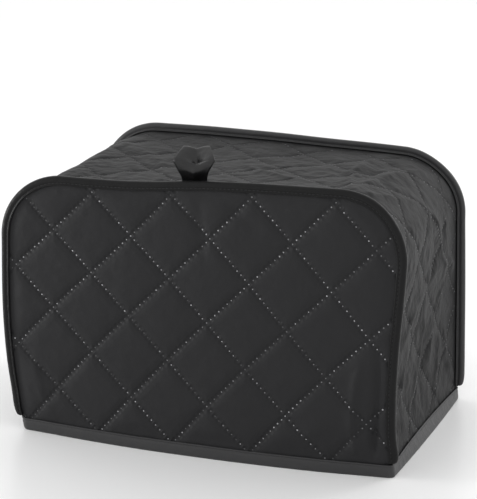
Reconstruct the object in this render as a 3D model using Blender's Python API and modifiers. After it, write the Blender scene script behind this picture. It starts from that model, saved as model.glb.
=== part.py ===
"""A fitted cloth cover for a two-slice toaster.

Two quilted panels close its front and back, and one long quilted strip, the gusset, makes the left
side, the top and the right side. The seams stand outward and are bound with folded tape, a folded
tape binds the hem, and a ribbon loop stands in the middle of the front seam.

X runs along the width, the front faces -Y, and the hem stands on Z = 0. Every piece is first laid
out on an upright box form with round top corners. Then settle() moves all of them alike, so that the
form takes the soft, uneven stance of the cloth and the pieces keep their distance.
"""

import math

import bmesh
import bpy
from mathutils import Vector, noise
from mathutils.geometry import delaunay_2d_cdt

MM = 0.001

# The box form, measured over the bound seams.
WIDTH = 300 * MM
DEPTH = 192.5 * MM
HEIGHT = 200.5 * MM
CORNER_RADIUS = 49 * MM

# Cloth, tape and the room between two pieces.
CLOTH = 1.2 * MM
TAPE = 0.8 * MM
RIBBON = 1.0 * MM
GAP = 0.3 * MM

# A bound seam: a fin that stands out of the gusset, in the plane of the panel.
FIN = 6.2 * MM
TAPE_FRONT_LEG = 6.5 * MM
TAPE_FOLD = 0.7 * MM
CLOTH_IN_FIN = 2.5 * MM
PANEL_SKIN = TAPE + GAP
GUSSET_SKIN = PANEL_SKIN + CLOTH + GAP + CLOTH
FIN_THICKNESS = GUSSET_SKIN + GAP + TAPE
# The tape's back leg ends in a lip that lies on the gusset.
LIP_ROOM = 0.45 * MM
LIP_FACE = FIN - TAPE - LIP_ROOM
LIP_END = FIN_THICKNESS + 2.1 * MM
# At its foot a seam's outer edge runs inward in a round, over this height and by this much.
ROUND_FOOT = 10 * MM
ROUND_FOOT_DEPTH = 2.6 * MM
ROUND_FOOT_REACH = 12 * MM
ROUND_FOOT_STEPS = (1.5, 4.5)

# The hem: the cloth's lower edge stands in a folded tape, and the seam allowances end above it.
HEM_HEIGHT = 9.8 * MM
HEM_SLACK = 0.4 * MM
HEM_THICKNESS = TAPE + GAP + CLOTH + HEM_SLACK + TAPE
HEM_EDGE = 0.6 * MM
HEM_CORNER = 4.5 * MM
CLOTH_FOOT = 1.6 * MM
CLOTH_IN_HEM = 10.1 * MM
SEAM_FOOT = 11.2 * MM
BINDING_FOOT = 11.4 * MM

# Quilting: welded lines cross at this pitch. The first crossing is measured from the middle of the
# piece, and each piece has PITCH_STEPS mesh steps to a pitch.
PITCH_ACROSS = 59.3 * MM
PITCH_UP = 61.1 * MM
PITCH_STEPS = 6
PANEL_CROSSING = (-108.3 * MM, 160.3 * MM)
GUSSET_CROSSING = (29.65 * MM, 0.0)
PUFF = 1.4 * MM
PUFF_FULLNESS = 0.6
UNEVEN = 0.8 * MM
UNEVEN_SCALE = 45 * MM
PANEL_MARGIN = 1.0 * MM
GUSSET_MARGIN = LIP_END - GUSSET_SKIN + GAP
FADE = 10 * MM

# Mesh steps along the seam line and the hem.
SIDE_STEPS = 14
CORNER_STEPS = 8
TOP_STEPS = 20
HEM_STEPS = 22
SIDE_HEM_STEPS = 14
HEM_CORNER_STEPS = 4
CLEAR_OF_EDGE = 4.5 * MM

# How far the sides lie outside the box form, by height and by corner, in millimetres.
SIDE_SHIFT = (
    # height, front left, front right, back left, back right
    (0, -7.2, -0.4, 8.4, 8.6),
    (14, -5.6, -2.2, 6.8, 7.0),
    (30, -4.4, -4.6, 5.9, 6.2),
    (53, -1.9, -5.3, 4.6, 5.1),
    (77, -0.3, -5.0, 3.4, 4.1),
    (101, 0.5, -3.9, 2.1, 3.1),
    (125, 0.4, -2.2, 1.2, 2.0),
    (150, 0.0, -0.9, 0.4, 0.9),
    (201, 0.0, 0.0, 0.0, 0.0),
)

# How far the middle of each side stands outside the line between its corners, in millimetres.
SIDE_BELLY = (
    # height, left side, right side
    (0, 1.0, 1.4),
    (10, -1.2, -2.6),
    (40, -1.6, -3.0),
    (90, -0.8, -2.0),
    (150, 0.6, 0.2),
    (201, 0.6, 0.6),
)

# How far the hem of the front and back lies outside the box form, in millimetres.
HEM_BOW = (
    # x, front, back
    (-150, -5.5, -5.0),
    (-125, -3.0, -2.4),
    (-90, 1.0, 1.6),
    (-45, 4.2, 4.6),
    (0, 5.0, 5.0),
    (45, 4.4, 3.6),
    (90, 1.8, 0.8),
    (125, -2.2, -2.6),
    (150, -5.0, -5.4),
)
BOW_HEIGHT = 90 * MM
PANEL_BELLY = 1.6 * MM

# How far the top edges stand above the box form, in millimetres.
TOP_SHIFT = (
    # x, front, back
    (-150, -4.4, 1.2),
    (-100, -5.2, 1.6),
    (-60, -4.9, 1.8),
    (-35, -3.6, 1.4),
    (0, -0.6, 0.6),
    (40, 1.2, -1.0),
    (80, 1.9, -2.2),
    (110, 2.3, -3.6),
    (130, 2.8, -4.8),
    (150, 1.8, -4.2),
)
TOP_SHIFT_START = 70 * MM
TOP_SAG = 2.2 * MM

# A fold dies away over this share of its length, inside and beyond each end.
FOLD_END = 0.2

# Soft folds of the gusset. Each runs in an arc from one end to the other: along is measured on the
# strip from the middle of the top, positive to the right, and across from the middle of its width,
# negative to the front. A negative rise is a trough. All in millimetres.
GUSSET_FOLDS = (
    # along, across, along, across, bend, rise, width
    (105, -72, 88, 66, -10, 2.4, 8),
    (106, -68, 131, 74, -8, 2.2, 8),
    (109, -76, 140, -4, 5, 1.8, 6),
    (-12, -58, 96, -70, 9, 1.8, 12),
    (2, 2, 62, -42, 4, 1.5, 8),
    (6, 70, 56, 28, 4, -1.8, 16),
    (70, 8, 96, -14, 3, -1.6, 9),
    (98, -2, 103, 52, -3, -1.6, 9),
    (-40, -70, -84, 20, 9, 1.6, 9),
    (-72, -56, -112, 48, 7, 1.4, 9),
    (-20, 20, -70, 66, 6, -1.5, 14),
    (146, -2, 216, 46, -9, 1.8, 7),
    (160, 46, 208, 74, 8, 1.8, 7),
    (204, 72, 232, -56, 18, 1.9, 8),
    (214, 48, 262, 18, 7, 1.6, 7),
    (222, -2, 284, -30, -7, 1.6, 8),
    (250, 58, 300, 84, 7, 1.7, 7),
    (258, 44, 306, 36, 4, 1.7, 7),
    (250, -48, 298, -82, 5, 1.8, 7),
    (258, -60, 306, -44, 5, 1.6, 7),
    (170, -70, 236, -64, 8, -1.8, 9),
    (236, 8, 300, 4, 6, -1.6, 9),
    (170, 16, 206, 2, -6, -1.4, 9),
    (-150, -40, -226, -16, 9, 1.6, 8),
    (-168, 46, -240, 20, -9, 1.6, 8),
    (-224, -62, -292, -34, 7, 1.7, 8),
    (-232, 66, -296, 44, -6, 1.6, 8),
    (-250, 4, -304, 2, 5, -1.6, 10),
)

# Soft folds of the front panel: a pinch beside the lower right seam, a hollow under the loop and
# shallow hollows elsewhere. X and height in millimetres.
FRONT_FOLDS = (
    # x, height, x, height, bend, rise, width
    (137, 84, 131, 14, -3, -3.2, 5),
    (122, 78, 118, 16, 2, 1.4, 6),
    (2, 188, 8, 142, 2, -1.2, 8),
    (24, 186, 46, 168, 2, -1.2, 9),
    (-126, 60, -118, 18, 3, 1.2, 9),
    (60, 24, 100, 34, 3, 1.2, 10),
)
BACK_FOLDS = (
    # x, height, x, height, bend, rise, width
    (-134, 76, -128, 16, 3, -2.2, 6),
    (128, 64, 120, 16, -3, 1.4, 8),
    (-20, 184, 6, 150, 3, -1.2, 10),
)

# The ribbon loop: rows from its front end at the seam, over the top, to its back end. The first
# two columns are measured from the foot of the front seam, back and up, as the loop's middle is.
# Right is from the loop's own place, and hollow is how far the middle of the ribbon is pressed in.
# All in millimetres.
LOOP_X = -2.5 * MM
LOOP_ROWS = (
    # back, up, right, width, hollow
    (0.6, 0.6, -2.0, 18.0, 0.4),
    (-0.4, 7.6, -1.8, 18.8, 1.0),
    (-4.7, 13.8, -0.8, 23.5, 1.8),
    (-8.2, 19.4, 0.6, 29.0, 2.2),
    (-8.6, 22.4, 0.8, 29.8, 3.0),
    (-5.4, 25.2, 0.2, 27.0, 4.0),
    (-0.6, 28.4, -0.6, 22.0, 3.4),
    (3.3, 29.6, -1.4, 18.5, 2.2),
    (5.7, 25.5, -2.0, 17.5, 1.4),
    (5.2, 12.5, -2.4, 17.0, 0.8),
    (3.6, 1.4, -2.4, 17.0, 0.2),
)
LOOP_COLUMNS = (-1.0, -0.5, 0.0, 0.5, 1.0)
LOOP_MIDDLE = (-1, 16)
LOOP_HOLLOW_FALL = 1.5

# Where the round top corners have their middle, on the right.
CORNER_X = WIDTH / 2 - CORNER_RADIUS
CORNER_Z = HEIGHT - CORNER_RADIUS
SKIN_RADIUS = CORNER_RADIUS - FIN
SKIN_ARC = SKIN_RADIUS * math.pi / 2
FRONT = -1
BACK = 1


def smooth(value):
    """Goes softly from 0 to 1 while value does."""
    value = min(max(value, 0.0), 1.0)
    return value * value * (3 - 2 * value)


def read_table(rows, column, key):
    """A table's column at key, on a smooth curve through its rows."""
    key = min(max(key, rows[0][0]), rows[-1][0])
    right = next(i for i in range(1, len(rows)) if key <= rows[i][0])
    before = rows[max(right - 2, 0)]
    low = rows[right - 1]
    high = rows[right]
    after = rows[min(right + 1, len(rows) - 1)]
    span = high[0] - low[0]
    t = (key - low[0]) / span
    slope_low = (high[column] - before[column]) / (high[0] - before[0]) * span
    slope_high = (after[column] - low[column]) / (after[0] - low[0]) * span
    return (
        (2 * t**3 - 3 * t**2 + 1) * low[column]
        + (t**3 - 2 * t**2 + t) * slope_low
        + (3 * t**2 - 2 * t**3) * high[column]
        + (t**3 - t**2) * slope_high
    )


def mixed(low, high, share):
    return low + (high - low) * share


def settle(point):
    """Moves a point of the box form to where the soft cloth stands."""
    x, y, z = point
    rightward = (x / WIDTH) + 0.5
    backward = (y / DEPTH) + 0.5
    height = z / MM
    across = x / MM
    middle_of_depth = max(1 - (2 * y / DEPTH) ** 2, 0)
    middle_of_width = max(1 - (2 * x / WIDTH) ** 2, 0)

    left = mixed(read_table(SIDE_SHIFT, 1, height), read_table(SIDE_SHIFT, 3, height), backward)
    right = mixed(read_table(SIDE_SHIFT, 2, height), read_table(SIDE_SHIFT, 4, height), backward)
    left += read_table(SIDE_BELLY, 1, height) * middle_of_depth
    right += read_table(SIDE_BELLY, 2, height) * middle_of_depth
    out_x = mixed(-left, right, rightward) * MM

    low_part = max(1 - z / BOW_HEIGHT, 0) ** 2
    belly = PANEL_BELLY * middle_of_width * math.sin(math.pi * min(z / HEIGHT, 1))
    front = read_table(HEM_BOW, 1, across) * MM * low_part + belly
    back = read_table(HEM_BOW, 2, across) * MM * low_part + belly
    out_y = mixed(-front, back, backward)

    high_part = smooth((z - TOP_SHIFT_START) / (HEIGHT - TOP_SHIFT_START))
    raised = mixed(read_table(TOP_SHIFT, 1, across), read_table(TOP_SHIFT, 2, across), backward)
    sag = TOP_SAG * middle_of_depth * middle_of_width
    out_z = (raised * MM - sag) * high_part
    return Vector((x + out_x, y + out_y, z + out_z))


def depth_at(end, behind):
    """The y of a plane that lies this far behind the outer face of the front or back seam."""
    return end * (DEPTH / 2 - behind)


def seam_stations(foot):
    """Points (x, z) of the seam line with its outward direction, from the left hem to the right."""
    heights = [foot]
    heights += [BINDING_FOOT + step * MM for step in ROUND_FOOT_STEPS]
    heights += [mixed(SEAM_FOOT, CORNER_Z, i / SIDE_STEPS) for i in range(1, SIDE_STEPS + 1)]
    left = [(-WIDTH / 2, z, -1.0, 0.0) for z in heights]
    for i in range(1, CORNER_STEPS + 1):
        angle = math.pi / 2 * i / CORNER_STEPS
        out_x = -math.cos(angle)
        out_z = math.sin(angle)
        left.append((out_x * CORNER_RADIUS - CORNER_X, out_z * CORNER_RADIUS + CORNER_Z, out_x, out_z))
    top = []
    for i in range(1, TOP_STEPS):
        top.append((mixed(-CORNER_X, CORNER_X, i / TOP_STEPS), HEIGHT, 0.0, 1.0))
    right = [(-x, z, -out_x, out_z) for x, z, out_x, out_z in reversed(left)]
    return left + top + right


def inset(station, distance):
    """A station's point, moved into the outline by this distance."""
    x, z, out_x, out_z = station
    return (x - out_x * distance, z - out_z * distance)


def inset_of(x, z):
    """How far a point of a panel lies inside the outline."""
    beyond_x = abs(x) - CORNER_X
    beyond_z = z - CORNER_Z
    if beyond_x > 0 and beyond_z > 0:
        return CORNER_RADIUS - math.hypot(beyond_x, beyond_z)
    return min(WIDTH / 2 - abs(x), HEIGHT - z)


def narrowed(distance, z):
    """A distance inside the seam's edge, larger near the seam's foot, where the edge runs inward."""
    below = min(max((BINDING_FOOT + ROUND_FOOT - z) / ROUND_FOOT, 0), 1)
    inward = ROUND_FOOT_DEPTH * (1 - math.sqrt(1 - below**2))
    return distance + inward * (1 - distance / ROUND_FOOT_REACH)


def quilt(across, up, crossing):
    """Height of the puffed cloth between the welded lines."""
    u = (across - crossing[0]) / PITCH_ACROSS
    v = (up - crossing[1]) / PITCH_UP
    ridge = abs(math.sin(math.pi * (u - v))) * abs(math.sin(math.pi * (u + v)))
    return PUFF * ridge**PUFF_FULLNESS


def fold_height(folds, across, up):
    """Height that the soft folds of a table add at a point."""
    total = 0.0
    for start_a, start_b, end_a, end_b, bend, rise, width in folds:
        run_a = (end_a - start_a) * MM
        run_b = (end_b - start_b) * MM
        length = math.hypot(run_a, run_b)
        from_a = across - start_a * MM
        from_b = up - start_b * MM
        along = (from_a * run_a + from_b * run_b) / length**2
        if not -FOLD_END < along < 1 + FOLD_END:
            continue
        beside = (from_a * run_b - from_b * run_a) / length
        beside -= bend * MM * 4 * along * (1 - along)
        taper = 2 * FOLD_END
        ends = smooth((along + FOLD_END) / taper) * smooth((1 + FOLD_END - along) / taper)
        total += rise * MM * ends * math.exp(-((beside / (width * MM)) ** 2))
    return total


def uneven(across, up, piece):
    """A slow, slight rise and fall of the whole cloth."""
    place = Vector((across / UNEVEN_SCALE, up / UNEVEN_SCALE, piece))
    return UNEVEN * noise.noise(place)


def lattice(crossing, low, high):
    """Mesh points on the quilting's grid, by step, inside a rectangle."""
    step_a = PITCH_ACROSS / PITCH_STEPS
    step_b = PITCH_UP / PITCH_STEPS
    first_i = math.ceil((low[0] - crossing[0]) / step_a)
    last_i = math.floor((high[0] - crossing[0]) / step_a)
    first_j = math.ceil((low[1] - crossing[1]) / step_b)
    last_j = math.floor((high[1] - crossing[1]) / step_b)
    points = {}
    for i in range(first_i, last_i + 1):
        for j in range(first_j, last_j + 1):
            points[(i, j)] = (crossing[0] + i * step_a, crossing[1] + j * step_b)
    return points


def cut_sheet(outline, fold_lines, grid):
    """Points and triangles of a flat pattern whose quilting lines and fold lines are mesh edges."""
    points = list(outline)
    edges = [(i, (i + 1) % len(outline)) for i in range(len(outline))]
    for line in fold_lines:
        first = len(points)
        points.extend(line)
        edges.extend((first + i, first + i + 1) for i in range(len(line) - 1))
    number = {}
    for key, place in grid.items():
        number[key] = len(points)
        points.append(place)
    for i, j in grid:
        if (i - j) % PITCH_STEPS == 0 and (i + 1, j + 1) in grid:
            edges.append((number[(i, j)], number[(i + 1, j + 1)]))
        if (i + j) % PITCH_STEPS == 0 and (i + 1, j - 1) in grid:
            edges.append((number[(i, j)], number[(i + 1, j - 1)]))
    inside_only = 1
    nearness = 1e-7
    result = delaunay_2d_cdt([Vector(place) for place in points], edges, [], inside_only, nearness)
    return result[0], result[2]


def hem_diagonals(upper, lower):
    """Mesh edges in the hem's cells, the same way round the cover as those of its tape."""
    return [[upper[i], lower[i + 1]] for i in range(len(upper) - 1)]


def new_object(name, points, faces, material, collection):
    """An object of these faces, in the collection, with its material."""
    mesh = bpy.data.meshes.new(name)
    mesh.from_pydata([tuple(p) for p in points], [], [tuple(f) for f in faces])
    sheet = bmesh.new()
    sheet.from_mesh(mesh)
    loose = [v for v in sheet.verts if not v.link_faces]
    bmesh.ops.delete(sheet, geom=loose, context="VERTS")
    sheet.to_mesh(mesh)
    sheet.free()
    mesh.shade_smooth()
    mesh.materials.append(material)
    result = bpy.data.objects.new(name, mesh)
    collection.objects.link(result)
    return result


def thicken(sheet, thickness):
    """Gives an open surface its thickness, on the side away from its skin."""
    solid = sheet.modifiers.new("thickness", "SOLIDIFY")
    solid.thickness = thickness
    solid.offset = -1
    solid.use_even_offset = True


def panel(name, end, folds, material, collection):
    """The quilted front or back panel, cut to the seam line with its allowance."""
    stations = seam_stations(SEAM_FOOT)
    hem_x = WIDTH / 2 - FIN + TAPE + GAP - HEM_CORNER
    foot = [(mixed(end * hem_x, -end * hem_x, i / HEM_STEPS), CLOTH_FOOT) for i in range(HEM_STEPS + 1)]
    hem_top = [(x, CLOTH_IN_HEM) for x, _ in foot]
    rim = [inset(station, narrowed(CLOTH_IN_FIN, station[1])) for station in stations]
    if end == FRONT:
        rim.reverse()
    outline = [*foot, hem_top[-1], *rim, hem_top[0]]
    guard = [inset(station, TAPE_FRONT_LEG + PANEL_MARGIN) for station in stations]
    grid = lattice(PANEL_CROSSING, (-WIDTH / 2, SEAM_FOOT + CLEAR_OF_EDGE), (WIDTH / 2, HEIGHT))
    nearest = TAPE_FRONT_LEG + PANEL_MARGIN + CLEAR_OF_EDGE
    grid = {key: place for key, place in grid.items() if inset_of(*place) > nearest}
    flat, faces = cut_sheet(outline, [guard, hem_top, *hem_diagonals(hem_top, foot)], grid)
    points = []
    for x, z in flat:
        beside_seam = smooth((inset_of(x, z) - TAPE_FRONT_LEG - PANEL_MARGIN) / FADE)
        free = beside_seam * smooth((z - SEAM_FOOT) / FADE)
        rise = free * (quilt(x, z, PANEL_CROSSING) + fold_height(folds, x, z) + uneven(x, z, end))
        points.append(settle((x, depth_at(end, PANEL_SKIN - rise), z)))
    if end == BACK:
        faces = [tuple(reversed(face)) for face in faces]
    sheet = new_object(name, points, faces, material, collection)
    thicken(sheet, CLOTH)
    return sheet


def along_of(station):
    """Where a station of the seam line lies along the gusset, from the middle of the top."""
    x, z, out_x, _ = station
    side = 1 if x > 0 else -1
    if abs(x) <= CORNER_X:
        return x
    if z <= CORNER_Z:
        return side * (CORNER_X + SKIN_ARC + CORNER_Z - z)
    return side * (CORNER_X + SKIN_RADIUS * math.asin(abs(out_x)))


def gusset_station(along):
    """The seam line's point and outward direction beside this place on the gusset."""
    side = 1 if along > 0 else -1
    past_top = abs(along) - CORNER_X
    if past_top <= 0:
        return (along, HEIGHT, 0.0, 1.0)
    if past_top <= SKIN_ARC:
        angle = past_top / SKIN_RADIUS
        out_x = math.sin(angle)
        out_z = math.cos(angle)
        x = side * (CORNER_X + out_x * CORNER_RADIUS)
        z = CORNER_Z + out_z * CORNER_RADIUS
        return (x, z, side * out_x, out_z)
    return (side * WIDTH / 2, CORNER_Z - (past_top - SKIN_ARC), side * 1.0, 0.0)


def gusset(name, material, collection):
    """The long quilted strip: left side, top and right side, with its seam allowances turned out."""
    stations = seam_stations(SEAM_FOOT)
    seam_line = [along_of(station) for station in stations]
    end_of_strip = CORNER_X + SKIN_ARC + CORNER_Z
    turn = DEPTH / 2 - GUSSET_SKIN
    tips = [turn + FIN - narrowed(CLOTH_IN_FIN, station[1]) for station in stations]
    in_hem = DEPTH / 2 - HEM_CORNER
    places = [mixed(-in_hem, in_hem, i / SIDE_HEM_STEPS) for i in range(SIDE_HEM_STEPS + 1)]
    foot = [(end_of_strip - CLOTH_FOOT, across) for across in places]
    hem_top = [(end_of_strip - CLOTH_IN_HEM, across) for across in places]
    hem_along = seam_line[-1]
    right_half = [(along, -tip) for along, tip in zip(seam_line, tips)]
    right_half += [(hem_along, -turn), hem_top[0], *foot, hem_top[-1], (hem_along, turn)]
    outline = right_half + [(-along, -across) for along, across in right_half]
    flat_until = turn - GUSSET_MARGIN
    folds = [[(along, line) for along in seam_line] for line in (-turn, -flat_until, flat_until, turn)]
    for side in (-1, 1):
        upper = [(side * along, side * across) for along, across in hem_top]
        lower = [(side * along, side * across) for along, across in foot]
        folds += [upper, *hem_diagonals(upper, lower)]
    reach = (end_of_strip - CLOTH_IN_HEM - CLEAR_OF_EDGE, flat_until - CLEAR_OF_EDGE)
    grid = lattice(GUSSET_CROSSING, (-reach[0], -reach[1]), reach)
    flat, faces = cut_sheet(outline, folds, grid)
    points = []
    for along, across in flat:
        station = gusset_station(along)
        turned = max(abs(across) - turn, 0) if abs(along) < hem_along + GAP else 0
        side = 1 if across > 0 else -1
        free = smooth((flat_until - abs(across)) / FADE) * smooth((hem_along - abs(along)) / FADE)
        rise = quilt(along, across, GUSSET_CROSSING) + fold_height(GUSSET_FOLDS, along, across)
        rise = free * (rise + uneven(along, across, 2))
        x, z = inset(station, FIN - turned - rise)
        y = side * turn if turned else across
        points.append(settle((x, y, z)))
    sheet = new_object(name, points, faces, material, collection)
    thicken(sheet, CLOTH)
    return sheet


def swept(rows, closed):
    """Faces between rows of points, all of one length. Both legs of a tape are split alike."""
    count = len(rows[0])
    faces = []
    for i in range(len(rows) if closed else len(rows) - 1):
        j = (i + 1) % len(rows)
        for k in range(count - 1):
            near, far = i * count + k, j * count + k
            if k < (count - 1) / 2:
                faces += [(near, far, far + 1), (near, far + 1, near + 1)]
            else:
                faces += [(near, far, near + 1), (far, far + 1, near + 1)]
    return faces


def binding(name, end, material, collection):
    """Tape folded over a seam: one leg on the panel, the other behind the gusset's allowance."""
    section = (
        (TAPE_FRONT_LEG, 0.0),
        (TAPE_FOLD, 0.0),
        (0.0, FIN_THICKNESS / 2),
        (TAPE_FOLD, FIN_THICKNESS),
        (LIP_FACE, FIN_THICKNESS),
        (LIP_FACE, LIP_END),
    )
    rows = []
    for station in seam_stations(BINDING_FOOT):
        row = []
        for distance, behind in section:
            distance = narrowed(distance, station[1])
            if behind > FIN_THICKNESS / 2:
                distance = min(distance, LIP_FACE)
            x, z = inset(station, distance)
            row.append(settle((x, depth_at(end, behind), z)))
        rows.append(row)
    faces = swept(rows, closed=False)
    if end == BACK:
        faces = [tuple(reversed(face)) for face in faces]
    tape = new_object(name, [p for row in rows for p in row], faces, material, collection)
    thicken(tape, TAPE)
    return tape


def hem_line():
    """Points (x, y) of the hem's outer face with its outward direction, anticlockwise from above."""
    half_x = WIDTH / 2 - FIN + TAPE + GAP
    half_y = DEPTH / 2
    straight_x = half_x - HEM_CORNER
    straight_y = half_y - HEM_CORNER
    line = []
    runs = (
        ((-straight_x, -half_y), (straight_x, -half_y), (0.0, -1.0), HEM_STEPS),
        ((half_x, -straight_y), (half_x, straight_y), (1.0, 0.0), SIDE_HEM_STEPS),
        ((straight_x, half_y), (-straight_x, half_y), (0.0, 1.0), HEM_STEPS),
        ((-half_x, straight_y), (-half_x, -straight_y), (-1.0, 0.0), SIDE_HEM_STEPS),
    )
    for start, end, out, steps in runs:
        for i in range(steps + 1):
            x = mixed(start[0], end[0], i / steps)
            y = mixed(start[1], end[1], i / steps)
            line.append((x, y, *out))
        middle = (end[0] - out[0] * HEM_CORNER, end[1] - out[1] * HEM_CORNER)
        first = math.atan2(out[1], out[0])
        for i in range(1, HEM_CORNER_STEPS):
            angle = first + math.pi / 2 * i / HEM_CORNER_STEPS
            out_x = math.cos(angle)
            out_y = math.sin(angle)
            line.append((middle[0] + out_x * HEM_CORNER, middle[1] + out_y * HEM_CORNER, out_x, out_y))
    return line


def hem(name, material, collection):
    """Tape folded round the lower edge of all the cloth, a closed ring that stands on the table."""
    section = (
        (0.0, HEM_HEIGHT),
        (0.0, HEM_EDGE),
        (HEM_EDGE, 0.0),
        (HEM_THICKNESS - HEM_EDGE, 0.0),
        (HEM_THICKNESS, HEM_EDGE),
        (HEM_THICKNESS, HEM_HEIGHT),
    )
    rows = []
    for x, y, out_x, out_y in hem_line():
        rows.append([settle((x - out_x * d, y - out_y * d, z)) for d, z in section])
    faces = [tuple(reversed(face)) for face in swept(rows, closed=True)]
    tape = new_object(name, [p for row in rows for p in row], faces, material, collection)
    thicken(tape, TAPE)
    return tape


def loop_handle(name, material, collection):
    """A ribbon bent into a loop, its ends behind the front seam and its middle pressed in."""
    foot_y = depth_at(FRONT, LIP_END + GAP)
    foot_z = HEIGHT - FIN
    centre = Vector((LOOP_X, foot_y + LOOP_MIDDLE[0] * MM, foot_z + LOOP_MIDDLE[1] * MM))
    rows = []
    for back, up, right, width, hollow in LOOP_ROWS:
        middle = Vector((LOOP_X + right * MM, foot_y + back * MM, foot_z + up * MM))
        inward = centre - middle
        inward.x = 0
        inward.normalize()
        row = []
        for place in LOOP_COLUMNS:
            pressed = hollow * MM * (1 - abs(place)) ** LOOP_HOLLOW_FALL
            row.append(settle(middle + Vector((place * width / 2 * MM, 0, 0)) + inward * pressed))
        rows.append(row)
    faces = [tuple(reversed(face)) for face in swept(rows, closed=False)]
    ribbon = new_object(name, [p for row in rows for p in row], faces, material, collection)
    finer = ribbon.modifiers.new("soft", "SUBSURF")
    finer.levels = 1
    finer.render_levels = 1
    thicken(ribbon, RIBBON)
    return ribbon


def cloth_material(name, colour, roughness):
    material = bpy.data.materials.new(name)
    material.use_nodes = True
    shader = material.node_tree.nodes["Principled BSDF"]
    shader.inputs["Base Color"].default_value = (*colour, 1.0)
    shader.inputs["Roughness"].default_value = roughness
    shader.inputs["Metallic"].default_value = 0.0
    return material


def main():
    for old in list(bpy.data.objects):
        bpy.data.objects.remove(old, do_unlink=True)
    cover = bpy.data.collections.new("toaster_cover")
    bpy.context.scene.collection.children.link(cover)
    cloth = cloth_material("black_quilted_cloth", (0.028, 0.028, 0.029), 0.75)
    tape = cloth_material("black_tape", (0.034, 0.034, 0.035), 0.6)
    ribbon = cloth_material("black_ribbon", (0.030, 0.030, 0.031), 0.5)
    panel("front_panel", FRONT, FRONT_FOLDS, cloth, cover)
    panel("back_panel", BACK, BACK_FOLDS, cloth, cover)
    gusset("gusset", cloth, cover)
    binding("front_binding", FRONT, tape, cover)
    binding("back_binding", BACK, tape, cover)
    hem("hem_binding", tape, cover)
    loop_handle("loop_handle", ribbon, cover)


main()
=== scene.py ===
"""The looks of a fitted cloth cover for a two-slice toaster.

Two quilted panels close the front and the back, and one quilted strip, the gusset, makes the left side,
the top and the right side. The seams stand outward in folded tape, a folded tape binds the hem, and a
ribbon loop stands in the middle of the front seam. The quilting is welded: rows of small shiny spots.

X runs along the width, the front faces -Y, and the hem stands on Z = 0. Every piece is first laid out
on an upright box form with round top corners. Then settle() moves all of them alike.
"""

import math
import random

import bpy
from mathutils import Matrix, Vector, noise
from mathutils.geometry import delaunay_2d_cdt

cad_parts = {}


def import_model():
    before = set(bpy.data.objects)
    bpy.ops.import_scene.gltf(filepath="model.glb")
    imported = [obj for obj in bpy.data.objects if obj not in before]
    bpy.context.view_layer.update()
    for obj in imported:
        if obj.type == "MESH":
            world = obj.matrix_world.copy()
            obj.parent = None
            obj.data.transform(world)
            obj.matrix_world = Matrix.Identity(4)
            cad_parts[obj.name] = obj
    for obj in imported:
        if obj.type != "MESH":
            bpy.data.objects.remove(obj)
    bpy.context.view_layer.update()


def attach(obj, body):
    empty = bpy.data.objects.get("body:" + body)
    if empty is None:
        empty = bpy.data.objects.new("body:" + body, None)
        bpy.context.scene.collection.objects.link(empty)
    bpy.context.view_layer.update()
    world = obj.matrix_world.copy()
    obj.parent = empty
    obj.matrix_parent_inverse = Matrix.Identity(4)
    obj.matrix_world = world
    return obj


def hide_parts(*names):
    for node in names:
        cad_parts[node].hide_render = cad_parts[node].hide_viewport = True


MM = 0.001

# The camera, from a fit to the cover's outline and quilting, then moved a little to bring the outline
# closer. Angles are in radians, the lens and the sensor in millimetres.
CAMERA_AZIMUTH = 0.320945
CAMERA_ELEVATION = 0.251822
CAMERA_ROLL = 0.012068
CAMERA_DISTANCE = 1.30623
CAMERA_TARGET = Vector((-0.0012, 0.0, 0.12845))
CAMERA_LENS = 126.04
CAMERA_SENSOR = 36.0
CAMERA_NEAR = 0.05
CAMERA_FAR = 60.0

# The room: the strength of its white surround, its floor and its lights.
SURROUND = 1.04
FLOOR_SIZE = 30.0
FLOOR_WHITE = (0.96, 0.96, 0.96)
FLOOR_ROUGHNESS = 0.3
FLOOR_SPECULAR = 0.3
LIGHTS = (
    # name, place, aimed at, size, watts
    ("light_left", (-1.3, -0.45, 0.1), (0, 0, 0.1), (0.4, 0.5), 12.0),
    ("light_right", (1.0, 1.0, 0.8), (0, 0, 0.05), (0.4, 0.4), 4.0),
)

# The box form, measured over the bound seams.
WIDTH = 300 * MM
DEPTH = 192.5 * MM
HEIGHT = 200.5 * MM
CORNER_RADIUS = 49 * MM

# Cloth, tape and the room between two pieces.
CLOTH = 1.2 * MM
TAPE = 0.8 * MM
RIBBON = 0.8 * MM
GAP = 0.3 * MM

# A bound seam: a fin that stands out of the gusset, in the plane of the panel.
FIN = 6.2 * MM
TAPE_FRONT_LEG = 6.5 * MM
CLOTH_IN_FIN = 2.5 * MM
PANEL_SKIN = TAPE + GAP
GUSSET_SKIN = PANEL_SKIN + CLOTH + GAP + CLOTH
FIN_THICKNESS = GUSSET_SKIN + GAP + TAPE
# The tape's back leg ends in a lip that lies on the gusset.
LIP_ROOM = 0.45 * MM
LIP_FACE = FIN - TAPE - LIP_ROOM
LIP_END = FIN_THICKNESS + 2.1 * MM
# At its foot a seam's outer edge runs inward in a round, over this height and by this much.
ROUND_FOOT = 10 * MM
ROUND_FOOT_DEPTH = 2.6 * MM
ROUND_FOOT_REACH = 12 * MM

# The hem.
HEM_CORNER = 4.5 * MM
CLOTH_FOOT = 1.6 * MM
CLOTH_IN_HEM = 10.1 * MM
SEAM_FOOT = 11.2 * MM
BINDING_FOOT = 11.4 * MM

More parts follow.
